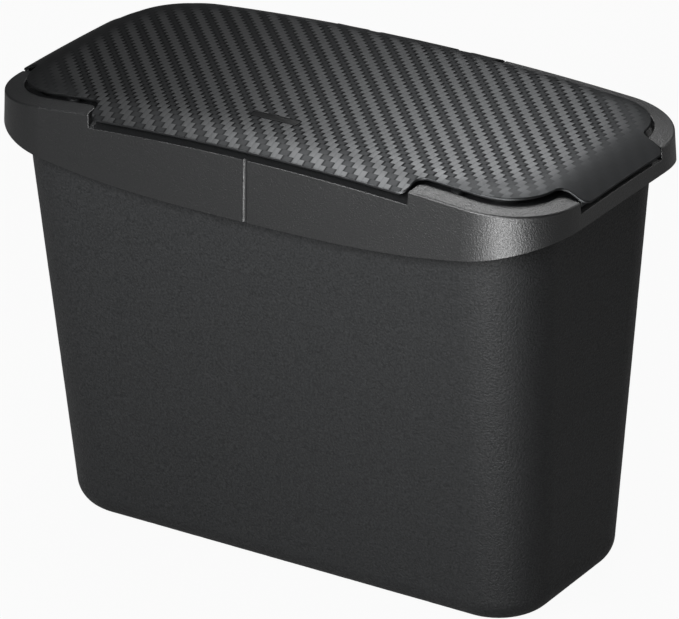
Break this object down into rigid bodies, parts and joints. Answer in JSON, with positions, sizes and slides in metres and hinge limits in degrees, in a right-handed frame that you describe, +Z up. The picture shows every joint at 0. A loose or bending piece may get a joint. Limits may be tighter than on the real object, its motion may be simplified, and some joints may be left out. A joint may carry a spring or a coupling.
{
  "type": "car trash bin",
  "caption": "Small rectangular waste bin for a car: tapered tub, deep frame over the rim that holds a bag, and a crowned rear-hinged lid with finger tabs.",
  "frame": {"origin": "on the floor, under the middle of the bin", "axes": "+Z up, +X along the length to the right as seen from the front, the front faces -Y"},
  "size_m": [0.2848, 0.142, 0.213],
  "materials": {
    "tub_plastic": "fine grained matte charcoal",
    "frame_plastic": "satin charcoal",
    "lid_plastic": "satin charcoal with a carbon-fibre weave pattern",
    "pin_steel": "drawn",
    "foot_rubber": "matte"
  },
  "bodies": {
    "bin": {"bin_body": "tub_plastic", "collar_frame": "frame_plastic", "hinge_pin": "pin_steel", "foot_front_left": "foot_rubber", "foot_front_right": "foot_rubber", "foot_rear_left": "foot_rubber", "foot_rear_right": "foot_rubber"},
    "cover": {"lid": "lid_plastic"}
  },
  "joints": [
    {"name": "lid_hinge", "type": "hinge", "parent": "bin", "child": "cover", "pos_m": [0, 0.0662, 0.205], "axis": [-1, 0, 0], "range_deg": [0, 100]}
  ]
}
